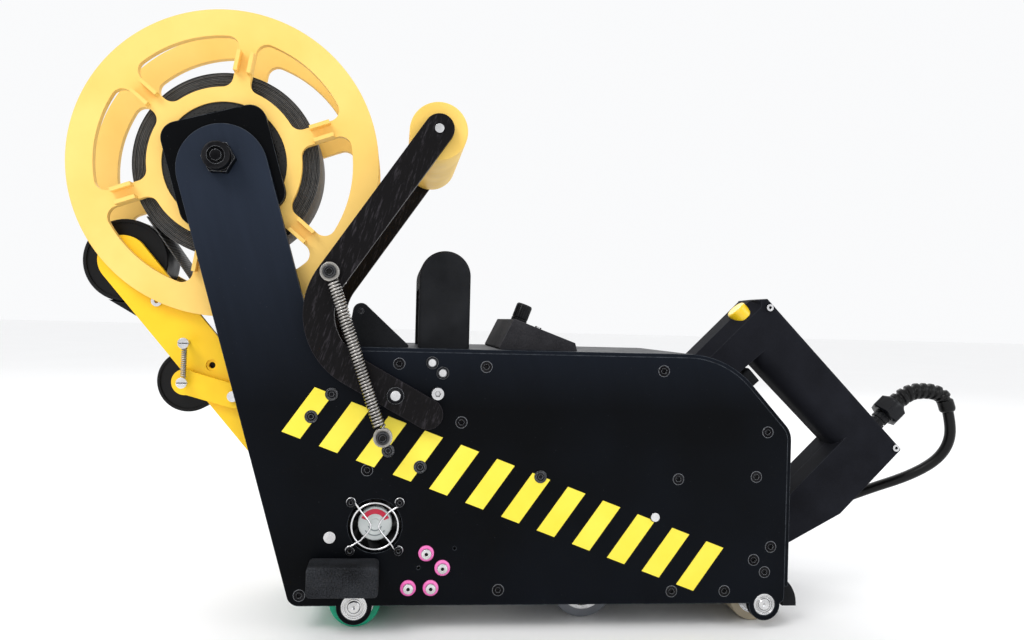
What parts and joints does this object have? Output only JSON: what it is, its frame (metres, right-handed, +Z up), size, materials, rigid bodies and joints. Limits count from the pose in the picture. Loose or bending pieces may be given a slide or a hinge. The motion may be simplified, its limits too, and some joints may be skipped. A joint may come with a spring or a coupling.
{
  "type": "wheeled strapping tool",
  "caption": "Wheeled mains-corded strap applying carriage with a large strap reel on a leaning upright, sprung guide arm, printed carry handle and push handle.",
  "frame": {"origin": "on the ground, under the middle of the machine's bounding box, cord left out", "axes": "+Z up, +X towards the push handle, -Y towards the side with the reel nut, fan and decal"},
  "size_m": [0.6608, 0.2692, 0.413],
  "materials": {
    "plate_black": "satin",
    "screw_black": "satin",
    "steel": "satin",
    "dark_steel": "satin",
    "printed_black": "matte",
    "handle_black": "matte",
    "arm_black": "satin",
    "flange_yellow": "matte",
    "plate_yellow": "satin",
    "roller_yellow": "matte",
    "button_yellow": "gloss",
    "decal_yellow": "satin",
    "strap_grey": "matte",
    "core_black": "matte",
    "roller_black": "satin",
    "cable_black": "satin",
    "gland_black": "satin",
    "tyre_green": "matte",
    "tyre_beige": "matte",
    "tyre_grey": "matte",
    "washer_pink": "gloss",
    "fan_black": "satin",
    "fan_white": "satin",
    "chrome_wire": "polished",
    "motor_can": "satin",
    "board_green": "satin"
  },
  "bodies": {
    "chassis": {"near_side_plate": "plate_black", "far_side_plate": "plate_black", "plate_screws": "screw_black", "tie_rods": "steel", "screw_bosses": "steel", "top_cover": "plate_black", "arch_handle": "printed_black", "guide_bracket": "printed_black", "control_box": "printed_black", "handle_near_half": "handle_black", "handle_far_half": "handle_black", "case_screws": "steel", "latch_block": "printed_black", "cable_gland": "gland_black", "strain_relief": "cable_black", "cable_run": "cable_black", "cable_coil": "cable_black", "cable_tail": "cable_black", "mains_plug": "cable_black", "brake_plate": "core_black", "reel_axle": "dark_steel", "reel_axle_nut": "screw_black", "spring_bolt_plate": "dark_steel", "roller_plate": "plate_yellow", "roller_shoe": "printed_black", "plate_pins": "steel", "press_spring": "steel", "wheel_bearings": "steel", "fan_frame": "fan_black", "fan_guard": "chrome_wire", "fan_guard_screws": "screw_black", "wheel_cover_block": "printed_black", "cup_washers": "washer_pink", "cup_washer_screws": "steel", "side_studs": "steel", "rear_skirt": "printed_black", "side_decal": "decal_yellow", "strap_tail": "strap_grey", "strap_guide": "steel", "drive_motor": "motor_can", "control_board": "board_green"},
    "reel": {"reel_flange_near": "flange_yellow", "reel_flange_far": "flange_yellow", "reel_core": "core_black", "strap_coil": "strap_grey"},
    "dancer": {"dancer_arms": "arm_black", "dancer_rods": "steel", "spring_bolt_arm": "dark_steel"},
    "dancer_roll": {"dancer_roller": "roller_yellow"},
    "spring_link": {"dancer_spring": "steel"},
    "guide_roll": {"guide_roller": "roller_black"},
    "press_arm": {"press_lever": "plate_yellow", "press_axle": "steel"},
    "press_roll": {"press_roller": "roller_black"},
    "front_wheel": {"drive_wheel": "tyre_green"},
    "middle_roll": {"mid_roller": "tyre_grey"},
    "rear_roll": {"rear_roller": "tyre_beige"},
    "fan": {"fan_rotor": "fan_white"},
    "speed_knob": {"knob": "gland_black"},
    "button": {"trigger_button": "button_yellow"}
  },
  "joints": [
    {"name": "reel_turn", "type": "hinge", "parent": "chassis", "child": "reel", "pos_m": [-0.2005, -0.02, 0.3105], "axis": [0, 1, 0], "continuous": true},
    {"name": "dancer_swing", "type": "hinge", "parent": "chassis", "child": "dancer", "pos_m": [-0.083, 0, 0.159], "axis": [0, 1, 0], "range_deg": [0, 28], "stiffness_Nm_per_rad": 0.15, "springref_deg": -57.3},
    {"name": "spring_swing", "type": "hinge", "parent": "chassis", "child": "spring_link", "pos_m": [-0.0905, -0.0745, 0.1325], "axis": [0, 1, 0], "range_deg": [0, 22]},
    {"name": "dancer_roll_turn", "type": "hinge", "parent": "dancer", "child": "dancer_roll", "pos_m": [-0.0585, 0, 0.335], "axis": [0, 1, 0], "continuous": true},
    {"name": "guide_roll_turn", "type": "hinge", "parent": "chassis", "child": "guide_roll", "pos_m": [-0.267, -0.018, 0.2443], "axis": [0, 1, 0], "continuous": true},
    {"name": "press_swing", "type": "hinge", "parent": "chassis", "child": "press_arm", "pos_m": [-0.1916, -0.043, 0.1545], "axis": [0, 1, 0], "range_deg": [-20, 0], "stiffness_Nm_per_rad": 0.3, "springref_deg": 28.65, "deforming": ["press_spring"]},
    {"name": "press_roll_turn", "type": "hinge", "parent": "press_arm", "child": "press_roll", "pos_m": [-0.2235, -0.016, 0.1635], "axis": [0, 1, 0], "continuous": true},
    {"name": "front_wheel_turn", "type": "hinge", "parent": "chassis", "child": "front_wheel", "pos_m": [-0.107, 0, 0.0175], "axis": [0, 1, 0], "continuous": true},
    {"name": "middle_roll_turn", "type": "hinge", "parent": "chassis", "child": "middle_roll", "pos_m": [0.053, 0, 0.0225], "axis": [0, 1, 0], "continuous": true},
    {"name": "rear_roll_turn", "type": "hinge", "parent": "chassis", "child": "rear_roll", "pos_m": [0.1755, 0, 0.0175], "axis": [0, 1, 0], "continuous": true},
    {"name": "fan_turn", "type": "hinge", "parent": "chassis", "child": "fan", "pos_m": [-0.0945, -0.05, 0.0715], "axis": [0, 1, 0], "continuous": true},
    {"name": "knob_turn", "type": "hinge", "parent": "chassis", "child": "speed_knob", "pos_m": [0.007, 0, 0.20808], "axis": [0.3469, 0, 0.9379], "range_deg": [-135, 135]},
    {"name": "button_press", "type": "slide", "parent": "chassis", "child": "button", "axis": [-0.7071, 0, 0.7071], "range_m": [-0.0025, 0], "stiffness_N_per_m": 200, "springref_m": 0.001}
  ],
  "couplings": [
    {"joint": "spring_swing", "follows": "dancer_swing", "ratio": 0.782}
  ]
}
